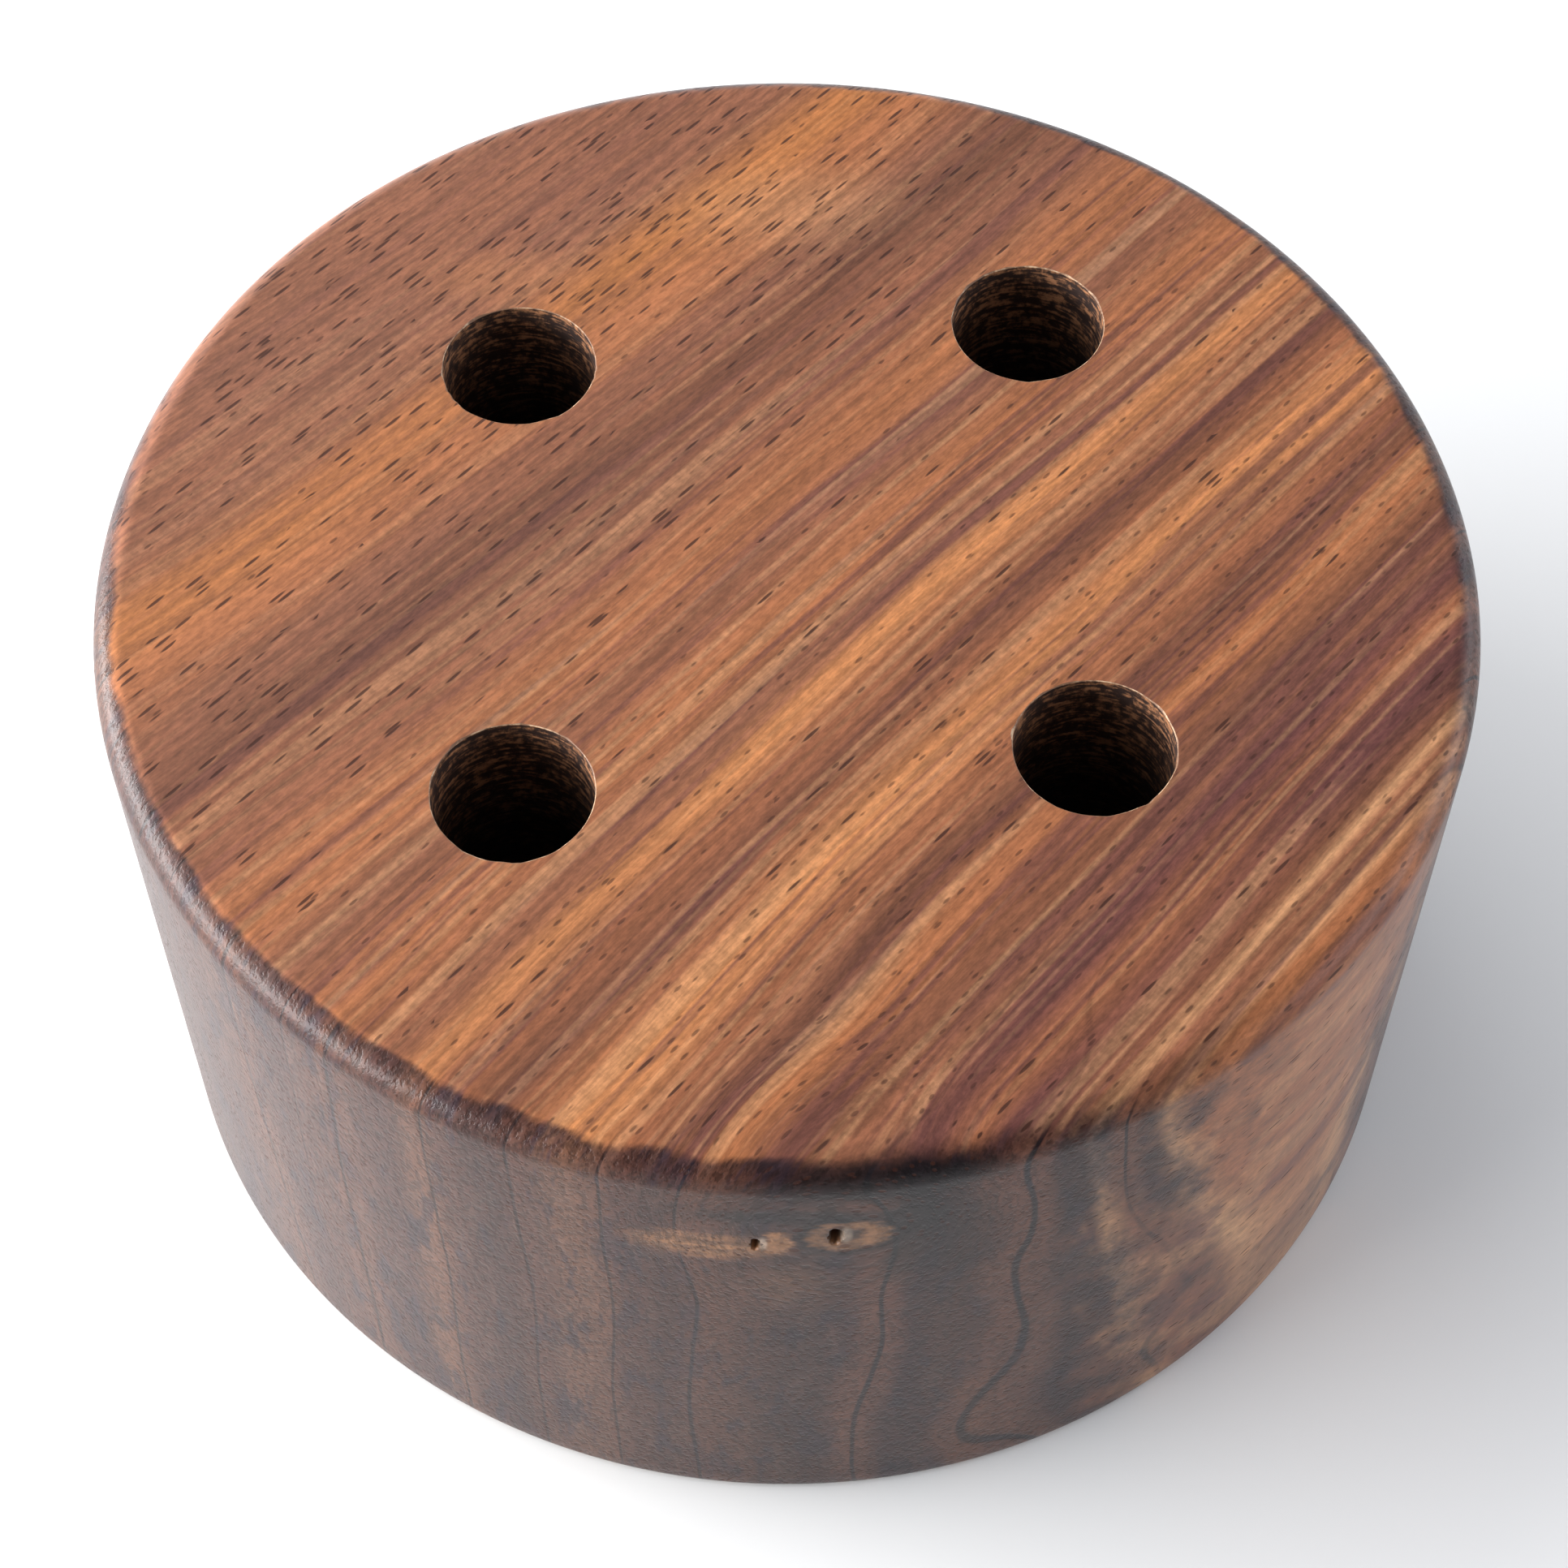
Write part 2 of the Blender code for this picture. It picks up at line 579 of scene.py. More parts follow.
    def bands(self, graph: Graph, across: Any) -> Any:
        """Colour the wood by its bands.

        Args:
            graph: the material to build in.
            across: the bent across coordinate.

        Returns:
            The colour ramp node.
        """
        share = Fade(-self.reach, self.reach).build(graph, across)
        ramp = graph.add("ValToRGB", {"Fac": share})
        ramp.color_ramp.interpolation = "EASE"
        elements = ramp.color_ramp.elements
        elements.remove(elements[1])
        for number, band in enumerate(FIGURE_BANDS):
            position = (band.across + self.reach) / (2 * self.reach)
            if number:
                element = elements.new(position)
            else:
                element = elements[0]
                element.position = position
            element.color = linear(band.colour)
        return ramp

    def ring_lines(self, graph: Graph, grain: Any, across: Any) -> tuple[Any, Any]:
        """Draw the thin dark line that ends each growth ring, and the paler wood beside it.

        The across coordinate, strayed by a noise of its own so that the rings differ in width,
        is folded by the ring spacing, and the line is where the folded distance is under a few
        hundredths of a ring.  Beyond the knot, where the branch pushed the rings about, a
        second noise makes the lines sway more.

        Args:
            graph: the material to build in.
            grain: the place in the grain's axes.
            across: the bent across coordinate.

        Returns:
            The node whose value is 1 on a line, and the one whose value is 1 close beside it.
        """
        uneven = graph.add(
            "TexNoise", {"W": across, "Scale": 0.11, "Detail": 1.0}, noise_dimensions="1D"
        )
        strayed = graph.add(
            "Math", {0: uneven, 1: self.ring_unevenness, 2: across}, operation="MULTIPLY_ADD"
        )
        swaying = graph.add("TexNoise", {"Vector": grain, "Scale": 0.05, "Detail": 0.5})
        reach = self.sway.build(graph, across)
        strayed = graph.add("Math", {0: swaying, 1: reach, 2: strayed}, operation="MULTIPLY_ADD")
        rings = graph.add("Math", {0: strayed, 1: self.ring_spacing}, operation="DIVIDE")
        folded = graph.add("Math", {0: rings, 1: 0.5}, operation="PINGPONG")
        return self.line.build(graph, folded), self.beside.build(graph, folded)

    def end_grain(self, graph: Graph, grain: Any) -> Any:
        """Find how squarely the surface cuts across the fibres.

        Args:
            graph: the material to build in.
            grain: the place in the grain's axes, for the noise that frays the border.

        Returns:
            The node whose value is 1 on end grain and 0 where the surface runs with the grain.
        """
        fibres = (math.cos(self.heading), math.sin(self.heading), 0.0)
        normal = graph.add("NewGeometry").outputs["Normal"]
        facing = graph.add("VectorMath", {0: normal, 1: fibres}, operation="DOT_PRODUCT")
        size = graph.add("Math", {0: facing.outputs["Value"]}, operation="ABSOLUTE")
        patchy = graph.add("TexNoise", {"Vector": grain, "Scale": 0.22, "Detail": 4.0})
        ragged = graph.add("Math", {0: patchy, 1: 0.7, 2: size}, operation="MULTIPLY_ADD")
        return self.cut.build(graph, ragged)

    def spots(
        self, graph: Graph, place: Any, colour: Any, spots: Sequence[Spot], ragged: float
    ) -> Any:
        """Lay soft-edged spots of colour over a colour.

        Args:
            graph: the material to build in.
            place: the place in the block, in millimetres.
            colour: the colour under them.
            spots: the spots, from the lowest to the topmost.
            ragged: how far a noise tears their outlines, in millimetres.

        Returns:
            The node that holds the new colour.
        """
        if ragged:
            flat = graph.add("VectorMath", {0: place, 1: (0.45, 0.3, 1.7)}, operation="MULTIPLY")
            noise = graph.add(
                "TexNoise", {"Vector": flat, "Scale": 1.0, "Detail": 3.0, "Roughness": 0.65}
            )
            centred = graph.add(
                "VectorMath", {0: noise.outputs["Color"], 1: (0.5,) * 3}, operation="SUBTRACT"
            )
            place = graph.add(
                "VectorMath",
                {0: centred, 1: (2.4 * ragged, ragged, 1.7 * ragged), 2: place},
                operation="MULTIPLY_ADD",
            )
        for spot in spots:
            off = graph.add("VectorMath", {0: place, 1: spot.centre}, operation="SUBTRACT")
            scaled = graph.add("VectorMath", {0: off, 1: spot.half}, operation="DIVIDE")
            span = graph.add("VectorMath", {0: scaled}, operation="LENGTH")
            edge = Fade(1.0 + spot.edge, 1.0 - spot.edge, 0.0, spot.strength, eased=True)
            mask = edge.build(graph, span.outputs["Value"])
            colour = graph.add("Mix", {0: mask, 6: colour, 7: linear(spot.colour)}, data_type="RGBA")
        return colour


@dataclass(frozen=True)
class OiledWalnut:
    """Black walnut, sanded fine and wiped with oil: a satin skin that shows every streak.

    Oil wets the wood and leaves no film, so the pores stay open and dull, and the skin only
    shines at a glancing angle.  End grain drinks the oil and turns much darker.

    Attributes:
        name: the material's name.
        ior, specular_level, sheen, sheen_roughness: the skin's shine.
        roughness, pore_roughness: of the sanded skin, and of the open pores.
        relief: the height that the bump's unit stands for, in metres.
        side_painted_shade: how much of its colour the side keeps beside the top, as painted shade.
        evening: how far end grain evens out the bands' colours.
        soaking: what end grain leaves of red, green and blue once it has drunk the oil.
        cooling: how much slate the dark streaks bring on end grain.
        lively: how strong the streaks are, by the place across.
        dark_strength, pale_strength: how strong each kind is, the pale ones by the end grain.
        line_strength: how strong the ring lines are, by the end grain.
        beside_strength: how strong the paler wood beside them is, by the place across.
        crowd, clustered: the share of cells with a long pore, by the place across, and its
            change by the clusters.
        stubby, stubby_end: the share with a short pore, by the place across, and what end
            grain adds to it.
        fibre_shade, speck_shade: the shades of the fibres and of the speckle.
        ripple_swing: how far the ripple swings the shade, by the pale streaks.
        rise: how much higher the relief stands, by the end grain.
        figure: the figure of the wood.
    """

    name: str = "oiled_black_walnut"
    ior: float = 1.47
    specular_level: float = 0.19
    sheen: float = 0.10
    sheen_roughness: float = 0.35
    roughness: float = 0.33
    pore_roughness: float = 0.5
    relief: float = 0.000012
    side_painted_shade: float = 0.74
    evening: float = 0.10
    soaking: tuple[float, float, float] = (0.235, 0.265, 0.43)
    cooling: float = 0.38
    lively: Fade = Fade(4.0, 22.0, 1.0, 0.35)
    dark_strength: float = 0.65
    pale_strength: Fade = Fade(first=0.33, last=0.20)
    line_strength: Fade = Fade(first=0.20, last=0.62)
    beside_strength: Fade = Fade(-24.0, -40.0, 0.06, 0.42)
    crowd: Fade = Fade(2.0, 24.0, 0.08, 0.75)
    clustered: Fade = Fade(first=0.35, last=1.3)
    stubby: Fade = Fade(5.0, -15.0, 0.06, 0.28)
    stubby_end: float = 0.5
    fibre_shade: Fade = Fade(first=0.80, last=1.20)
    speck_shade: Fade = Fade(first=1.08, last=0.70)
    ripple_swing: Fade = Fade(first=0.03, last=0.16)
    rise: Fade = Fade(first=1.0, last=2.5)
    figure: WalnutFigure = field(default_factory=WalnutFigure)

    def streaked(self, graph: Graph, lanes: Any, across: Any, end: Any) -> tuple[Any, Any, Any]:
        """Colour the wood by its bands, and lay the red patches and the streaks over them.

        Args:
            graph: the material to build in.
            lanes: the along, bent across and up coordinates as a vector.
            across: the bent across coordinate.
            end: 1 on end grain and 0 on long grain.

        Returns:
            The colour, the dark streaks' mask and the pale streaks' mask.
        """
        figure = self.figure
        colour: Any = figure.bands(graph, across)
        evened = graph.product(end, self.evening)
        colour = graph.add("Mix", {0: evened, 6: colour, 7: linear(HEART_BROWN)}, data_type="RGBA")
        patch = figure.patches.build(graph, lanes)
        reddened = graph.add("Mix", {0: 0.35, 6: colour, 7: linear(RED_BROWN)}, data_type="RGBA")
        colour = graph.add("Mix", {0: patch, 6: colour, 7: reddened}, data_type="RGBA")
        lively = self.lively.build(graph, across)
        dark = figure.dark.build(graph, lanes)
        pale = figure.pale.build(graph, lanes)
        pale_strength = self.pale_strength.build(graph, end)
        kinds = ((dark, self.dark_strength, PURPLE_UMBER), (pale, pale_strength, STRAW))
        for mask, strength, hue in kinds:
            part = graph.product(mask, strength, lively)
            colour = graph.add("Mix", {0: part, 6: colour, 7: linear(hue)}, data_type="RGBA")
        return colour, dark, pale

    def ringed(
        self, graph: Graph, grain: Any, across: Any, end: Any, colour: Any, dark: Any
    ) -> tuple[Any, Any]:
        """Draw the growth rings' lines and soak the end grain with oil.

        Args:
            graph: the material to build in.
            grain: the place in the grain's axes.
            across: the bent across coordinate.
            end: 1 on end grain and 0 on long grain.
            colour: the colour of the dry wood.
            dark: the dark streaks' mask, which cools the end grain.

        Returns:
            The new colour and the ring lines' mask.
        """
        line, beside = self.figure.ring_lines(graph, grain, across)
        line_part = graph.product(line, self.line_strength.build(graph, end))
        colour = graph.add("Mix", {0: line_part, 6: colour, 7: linear(LATEWOOD)}, data_type="RGBA")
        soaked = graph.add("VectorMath", {0: colour, 1: self.soaking}, operation="MULTIPLY")
        colour = graph.add("Mix", {0: end, 6: colour, 7: soaked}, data_type="RGBA")
        beside_strength = self.beside_strength.build(graph, across)
        unlined = graph.add("Math", {0: 1.0, 1: line}, operation="SUBTRACT")
        cooled = graph.product(dark, end, self.cooling)
        lifted = graph.product(beside, end, unlined, beside_strength)
        for mask, hue in ((cooled, SLATE), (lifted, HEART_BROWN)):
            colour = graph.add("Mix", {0: mask, 6: colour, 7: linear(hue)}, data_type="RGBA")
        return colour, line_part

    def open_pores(self, graph: Graph, grain: Any, across: Any, end: Any) -> Any:
        """Scatter the open pores: long and crowded towards the back left, short to the front.

        Args:
            graph: the material to build in.
            grain: the place in the grain's axes.
            across: the bent across coordinate.
            end: 1 on end grain and 0 on long grain.

        Returns:
            The node whose value is 1 in a pore.
        """
        figure = self.figure
        crowd = self.crowd.build(graph, across)
        clustered = self.clustered.build(graph, figure.clusters.build(graph, grain))
        long_pores = figure.long_pores.build(graph, grain, graph.product(crowd, clustered))
        stubby = self.stubby.build(graph, across)
        share = graph.add("Math", {0: end, 1: self.stubby_end, 2: stubby}, operation="MULTIPLY_ADD")
        short_pores = graph.product(figure.short_pores.build(graph, grain, share), 0.7)
        return graph.add("Math", {0: long_pores, 1: short_pores}, operation="MAXIMUM")

    def build(self) -> bpy.types.Material:
        """Build the material."""
        figure = self.figure
        graph = Graph(bpy.data.materials.new(self.name))
        place, grain, lanes = figure.coordinates(graph)
        across = graph.add("SeparateXYZ", {0: lanes}).outputs["Y"]
        end = figure.end_grain(graph, grain)
        colour, dark, pale = self.streaked(graph, lanes, across, end)
        colour, line = self.ringed(graph, grain, across, end, colour, dark)
        colour = figure.spots(graph, place, colour, KNOT_SPOTS + TORN_PATCHES, ragged=1.0)
        # The knot pits' lips: torn fibre and a painted highlight.
        colour = figure.spots(graph, place, colour, KNOT_LIPS_AND_HIGHLIGHTS, ragged=0.0)

        fine = figure.fine.build(graph, lanes)
        fibre = figure.fibre.build(graph, grain)
        ripple = figure.ripple.build(graph, grain)
        speck = graph.product(figure.speck.build(graph, grain), end)
        fine_shade = self.fibre_shade.build(graph, fine)
        fibre_shade = self.fibre_shade.build(graph, fibre)
        swing = self.ripple_swing.build(graph, pale)
        centred = graph.add("Math", {0: ripple, 1: 0.5}, operation="SUBTRACT")
        ripple_shade = graph.add("Math", {0: centred, 1: swing, 2: 1.0}, operation="MULTIPLY_ADD")
        speck_shade = self.speck_shade.build(graph, speck)
        # Painted shade: the side's colour is darkened against the top's, by how far the normal turns from
        # upright.
        upward = graph.add("SeparateXYZ", {0: graph.add("NewGeometry").outputs["Normal"]}).outputs["Z"]
        painted_side_shade = Fade(0.0, 0.6, self.side_painted_shade, 1.0).build(graph, upward)
        shade = graph.product(fine_shade, fibre_shade, ripple_shade, speck_shade, painted_side_shade)
        colour = graph.add("VectorMath", {0: colour, "Scale": shade}, operation="SCALE")
        pores = self.open_pores(graph, grain, across, end)
        filled = graph.product(pores, 0.85)
        colour = graph.add("Mix", {0: filled, 6: colour, 7: linear(PORE_BROWN)}, data_type="RGBA")

        height = graph.add("Math", {0: fibre, 1: 0.15, 2: 1.0}, operation="MULTIPLY_ADD")
        for sunk, depth in ((speck, -0.5), (line, -0.4), (pores, -0.6)):
            height = graph.add("Math", {0: sunk, 1: depth, 2: height}, operation="MULTIPLY_ADD")
        relief = graph.product(height, self.rise.build(graph, end))
        bump = graph.add("Bump", {"Height": relief, "Distance": self.relief})
        dulled = Fade(first=self.roughness, last=self.pore_roughness).build(graph, pores)
        shader = graph.add(
            "BsdfPrincipled",
            {
                "Base Color": colour,
                "Roughness": dulled,
                "IOR": self.ior,
                "Specular IOR Level": self.specular_level,
                "Sheen Weight": self.sheen,
                "Sheen Roughness": self.sheen_roughness,
                "Normal": bump,
            },
        )
        return graph.finish(shader)


@dataclass(frozen=True)
class DrilledWalnut:
    """Black walnut as the drill leaves it: dull, unoiled and scored round by the bit.

    Burnished dark rings alternate with torn, paler fibre, so that the walls catch light in broken
    red-brown lines near the mouth.  Below the mouth the colour is darkened with depth: painted shade
    for the dark inside of the bore.

    Attributes:
        name: the material's name.
        burnished, torn: the colours of the rubbed wood and of the torn fibre.
        mouth: the height of the bores' mouths, in metres.
        painted_shade_reach: how far below the mouth the painted shade of the bore takes over, in metres.
        painted_shade_share: the share of the colour that the painted shade leaves below that.
        score_rates, tuft_rate: how many scores and tufts of fibre there are to the metre.
        tearing: the height of the relief from which the fibre is torn.
        roughness: how dull the walls are.
        relief: the height of the bump, in metres.
    """

    name: str = "drilled_black_walnut"
    burnished: str = "2c1a13"
    torn: str = "a8744f"
    mouth: float = 0.0508
    painted_shade_reach: float = 0.014
    painted_shade_share: float = 0.12
    score_rates: tuple[float, float, float] = (420.0, 420.0, 3400.0)
    tuft_rate: float = 1400.0
    tearing: Fade = Fade(0.21, 0.38, eased=True)
    roughness: float = 0.62
    relief: float = 0.00012

    def build(self) -> bpy.types.Material:
        """Build the material."""
        graph = Graph(bpy.data.materials.new(self.name))
        place = graph.add("TexCoord").outputs["Object"]
        scores = graph.add("VectorMath", {0: place, 1: self.score_rates}, operation="MULTIPLY")
        score = graph.add("TexNoise", {"Vector": scores, "Scale": 1.0, "Detail": 2.0, "Roughness": 0.6})
        tufts = graph.add(
            "TexNoise", {"Vector": place, "Scale": self.tuft_rate, "Detail": 3.0, "Roughness": 0.7}
        )
        height = graph.product(score, tufts)
        torn = self.tearing.build(graph, height)
        colour = graph.add(
            "Mix", {0: torn, 6: linear(self.burnished), 7: linear(self.torn)}, data_type="RGBA"
        )
        # Painted shade: the walls' colour darkens from the mouth down, in place of the light that fades
        # inside the bore.
        level = graph.add("SeparateXYZ", {0: place}).outputs["Z"]
        depth = Fade(self.mouth - self.painted_shade_reach, self.mouth, self.painted_shade_share, 1.0, eased=True)
        painted_bore_shade = depth.build(graph, level)
        colour = graph.add("VectorMath", {0: colour, "Scale": painted_bore_shade}, operation="SCALE")
        bump = graph.add("Bump", {"Height": height, "Distance": self.relief})
        shader = graph.add(
            "BsdfPrincipled", {"Base Color": colour, "Roughness": self.roughness, "Normal": bump}
        )
        return graph.finish(shader)


@dataclass(frozen=True)
class Bore:
    """A blind bore for a pen's shaft, drilled straight down from the top.

    Attributes:
        x, y: its axis, in metres.
    """

    x: float
    y: float


@dataclass(frozen=True)
class Pit:
    """A small hole where a pin knot fell out of the side.

    Attributes:
        x, z: its centre as seen from the front, in metres.
        half_width, half_height: half its size, in metres.
        depth: how deep it goes, in metres.
    """

    x: float
    z: float
    half_width: float
    half_height: float
    depth: float


@dataclass
class TurnedBlock:
    """The whole object: a turned block with a rounded rim and four bores.

    Sizes are in metres.  The width, height and the bores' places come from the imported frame.

    Attributes:
        low, high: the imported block's box.
        bores: the four bores, one in each quarter.
        rim_round, rim_crease: the rim's radius, and the angle it leans by where the top starts.
        base_round: the radius of the base's edge.
        bore_radius, bore_depth, dimple_radius, dimple_depth: the bores' sizes.
        pits: the pin holes in the knot.
        arc_columns, spoke_columns: the mesh's columns along a quarter's arc and its straight edges.
        knot_crowding, knot_angle, knot_spread: how much closer the columns stand across the
            knot, where that is, and half how wide.
        knot_band, knot_margin: the heights between which the rings stand close, and the gap
            to the rings above and below them.
        mouth_ease: how far sanding opened the bores' mouths.
        chips, chip_reach, chip_width: how many chips a mouth has, how far they reach, in
            millimetres, and how wide they are, as an angle.
        chip_fall: how far down the wall the chips go before they have mostly gone.
        drill_rings: the rings that the bit left, each set with its depth and its spacing.
        drill_drift, drill_twist: how far the bit strayed, and its turn for each metre down.
    """

    low: np.ndarray
    high: np.ndarray
    bores: Sequence[Bore]
    rim_round: float = 0.0026
    rim_crease: float = math.radians(11.0)
    base_round: float = 0.0008
    bore_radius: float = 0.0058
    bore_depth: float = 0.0381
    dimple_radius: float = 0.0015
    dimple_depth: float = 0.0012
    pits: Sequence[Pit] = (
        Pit(-0.00066, 0.0427, 0.00048, 0.00105, 0.0016),
        Pit(-0.0061, 0.0417, 0.00030, 0.00075, 0.0012),
    )
    arc_columns: int = 112
    spoke_columns: int = 32
    knot_crowding: float = 10.0
    knot_angle: float = 1.5 * math.pi - 0.05
    knot_spread: float = 0.11
    knot_band: tuple[float, float] = (0.0400, 0.0446)
    knot_margin: float = 0.0008
    mouth_ease: float = 0.00006
    chips: int = 16
    chip_reach: tuple[float, float] = (0.02, 0.13)
    chip_width: tuple[float, float] = (0.04, 0.14)
    chip_fall: float = 0.0006
    drill_rings: Sequence[tuple[float, float]] = ((0.00003, 0.0024), (0.00002, 0.0061))
    drill_drift: float = 0.00002
    drill_twist: float = 900.0

    @property
    def radius(self) -> float:
        """The block's outer radius."""
        return float(self.high[0] - self.low[0]) / 2.0

    @property
    def top(self) -> float:
        """The height of the flat top."""
        return float(self.high[2])

    def angles(self) -> np.ndarray:
        """Give the columns' angles round the axis, from +X anticlockwise.

        Each quarter holds the same number of columns.  They lie even in the running sum of a
        density that is 1 all round and some ten times that across the knot pits.
        """
        steps = 3600
        angles = []
        for quarter in range(4):
            fine = (quarter + np.arange(steps + 1) / steps) * math.pi / 2.0
            off = (fine - self.knot_angle) / self.knot_spread
            density = 1.0 + self.knot_crowding * np.exp(-(off ** 8))
            total = np.concatenate([[0.0], np.cumsum(density[1:] + density[:-1])])
            even = np.arange(self.arc_columns) / self.arc_columns * total[-1]
            angles.append(np.interp(even, total, fine))
        angles.append(np.array([TURN]))
        return np.concatenate(angles)

    def rim_radius(self, angle: np.ndarray) -> np.ndarray:
        """Give the radius of the sanded rim, which a hand leaves a little uneven.

        Args:
            angle: angles round the axis.

        Returns:
            The rim's radius at each angle: its mean and two slow waves of a few per cent.
        """
        return self.rim_round * (1.0 + 0.07 * np.sin(2.0 * angle + 0.6) + 0.04 * np.sin(5.0 * angle))

    def crease(self, angle: np.ndarray) -> np.ndarray:
        """Give the distance from the axis at which the flat top ends.

        Args:
            angle: angles round the axis.

        Returns:
            The outer radius less r(1 - sin c), for a rim of radius r and a crease angle c.
        """
        return self.radius - self.rim_radius(angle) * (1.0 - math.sin(self.rim_crease))

    def pit_depth(self, x: np.ndarray, y: np.ndarray, z: np.ndarray) -> np.ndarray:
        """Give how far the knot pits sink the side.

        Args:
            x, y, z: points on the side.

        Returns:
            The depth: a flat-bottomed well inside each pit's ellipse, with steep walls.
        """
        depth = np.zeros_like(x)
        for pit in self.pits:
            spread = np.hypot((x - pit.x) / pit.half_width, (z - pit.z) / pit.half_height)
            ragged = spread + 0.12 * np.sin(5.0 * np.arctan2(z - pit.z, x - pit.x) + 1.0)
            depth += pit.depth * smoothstep(1.15, 0.55, ragged) * (y < 0.0)
        return depth

    def outside(self) -> Sheet:
        """Make the base, the side and the rim as one sheet turned about the axis.

        Its profile starts at the centre of the base, runs out, takes a quarter circle round
        the base's edge, climbs the side, and ends with the rim's arc at the crease, where the
        arc still leans by the crease angle.
        """
        angle = self.angles()
        ones = np.ones_like(angle)
        lean = math.pi / 2.0 - self.rim_crease
        rim = self.rim_radius(angle)
        rim_start = self.top - rim * math.sin(lean)
        rings: list[tuple[np.ndarray, np.ndarray]] = []
        for share in (0.0, 0.15, 0.4, 0.7, 0.93):
            rings.append((ones * share * (self.radius - self.base_round), ones * 0.0))
        for turn in np.linspace(0.0, math.pi / 2.0, 6):
            reach = self.radius - self.base_round * (1.0 - math.sin(turn))
            rings.append((ones * reach, ones * self.base_round * (1.0 - math.cos(turn))))
        knot_low, knot_high = self.knot_band
        heights = np.concatenate([
            np.linspace(0.0020, knot_low - self.knot_margin, 20),
            np.linspace(knot_low, knot_high, 38),
            [knot_high + self.knot_margin],
        ])
        for height in heights:
            rings.append((ones * self.radius, ones * height))
        for turn in np.linspace(0.0, lean, 12):
            rings.append((self.radius - rim * (1.0 - math.cos(turn)), rim_start + rim * math.sin(turn)))
        rings[-1] = (self.crease(angle), ones * self.top)
        reach = np.array([ring[0] for ring in rings])
        height = np.array([ring[1] for ring in rings])
        x, y = reach * np.cos(angle), reach * np.sin(angle)
        sunk = reach - self.pit_depth(x, y, height)
        points = np.stack([sunk * np.cos(angle), sunk * np.sin(angle), height], axis=-1)
        return Sheet(points, np.full(len(rings) - 1, Finish.SANDED))

    def quarter_outline(self, quarter: int) -> np.ndarray:
        """Give the outline of a quarter of the flat top, anticlockwise, closed.

        Args:
            quarter: 0 to 3, anticlockwise from the quarter between +X and +Y.

        Returns:
            Points along the crease's arc, then in along one axis and out along the other.
        """
        axes = np.array([(1, 0), (0, 1), (-1, 0), (0, -1)], dtype=float)
        angle = self.angles()[quarter * self.arc_columns:(quarter + 1) * self.arc_columns + 1]
        reach = self.crease(angle)
        arc = np.stack([reach * np.cos(angle), reach * np.sin(angle)], axis=-1)
        shares = np.arange(1, self.spoke_columns)[:, None] / self.spoke_columns
        inward = (1.0 - shares) * self.crease(self.angles()[(quarter + 1) * self.arc_columns])
        outward = shares * self.crease(self.angles()[quarter * self.arc_columns])
        spoke_in = axes[(quarter + 1) % 4] * inward
        spoke_out = axes[quarter] * outward
        return np.concatenate([arc, spoke_in, np.zeros((1, 2)), spoke_out, arc[:1]])

    def mouth_chips(self, around: np.ndarray, seed: int) -> np.ndarray:
        """Give how far torn fibres widen a bore's mouth.

        Args:
            around: angles round the bore.
            seed: the number of the bore, which sets where its chips are.

        Returns:
            A sum of narrow bumps, scattered round the mouth.
        """
        chance = np.random.default_rng(40 + seed)
        chips = np.zeros_like(around)
        for _ in range(self.chips):
            centre = chance.uniform(0.0, TURN)
            size = chance.uniform(*self.chip_reach) * MM
            width = chance.uniform(*self.chip_width)
            away = np.angle(np.exp(1j * (around - centre)))
            chips += size * np.exp(-((away / width) ** 2))
        return chips

    def bore_sheet(self, bore: Bore, quarter: int) -> Sheet:
        """Make a quarter of the flat top with its bore, as one sheet.

        Rows run in from the quarter's outline to the bore's mouth along straight lines to its
        axis, over the mouth's edge, down the wall and in across the floor to the dimple.

        Args:
            bore: the bore in this quarter.
            quarter: the quarter's number.

        Returns:
            The sheet.
        """
        outline = self.quarter_outline(quarter)
        centre = np.array([bore.x, bore.y])
        away = outline - centre
        reach = np.hypot(away[:, 0], away[:, 1])
        around = np.arctan2(away[:, 1], away[:, 0])
        direction = away / reach[:, None]
        ones = np.ones_like(reach)
        chips = self.mouth_chips(around, quarter)
        mouth = self.bore_radius + self.mouth_ease + chips
        rows: list[tuple[np.ndarray, np.ndarray, Finish]] = []
        for share in np.concatenate([[0.0, 0.015], np.linspace(0.06, 1.0, 14) ** 0.8]):
            rows.append((reach + (mouth - reach) * share, ones * self.top, Finish.SANDED))
        rows[-1] = (mouth, ones * self.top, Finish.TORN_EDGE)
        rows.append((self.bore_radius + 0.4 * chips, self.top - 0.00005 - 0.6 * chips, Finish.DRILLED))
        depths = np.concatenate([
            np.linspace(0.0004, 0.0130, 22),
            np.linspace(0.0150, self.bore_depth - 0.0002, 9),
        ])
        for depth in depths:
            ring = sum(size * math.sin(TURN * depth / gap) for size, gap in self.drill_rings)
            drift = self.drill_drift * np.sin(around * 2.0 + depth * self.drill_twist)
            settled = 0.4 * chips * math.exp(-depth / self.chip_fall)
            reach = self.bore_radius + ring + drift + settled
            rows.append((reach, ones * (self.top - depth), Finish.DRILLED))
        floor = self.top - self.bore_depth
        rows.append((ones * self.bore_radius, ones * floor, Finish.DRILLED))
        for share in (0.8, 0.5):
            rows.append((ones * self.bore_radius * share, ones * floor, Finish.DRILLED))
        rows.append((ones * self.dimple_radius, ones * floor, Finish.DRILLED))
        halfway = floor - self.dimple_depth / 2
        rows.append((ones * self.dimple_radius * 0.5, ones * halfway, Finish.DRILLED))
        rows.append((ones * 0.0, ones * (floor - self.dimple_depth), Finish.DRILLED))
        reaches = np.array([row[0] for row in rows])
        heights = np.array([row[1] for row in rows])
        flat = centre + direction * reaches[..., None]
        flat[0] = outline
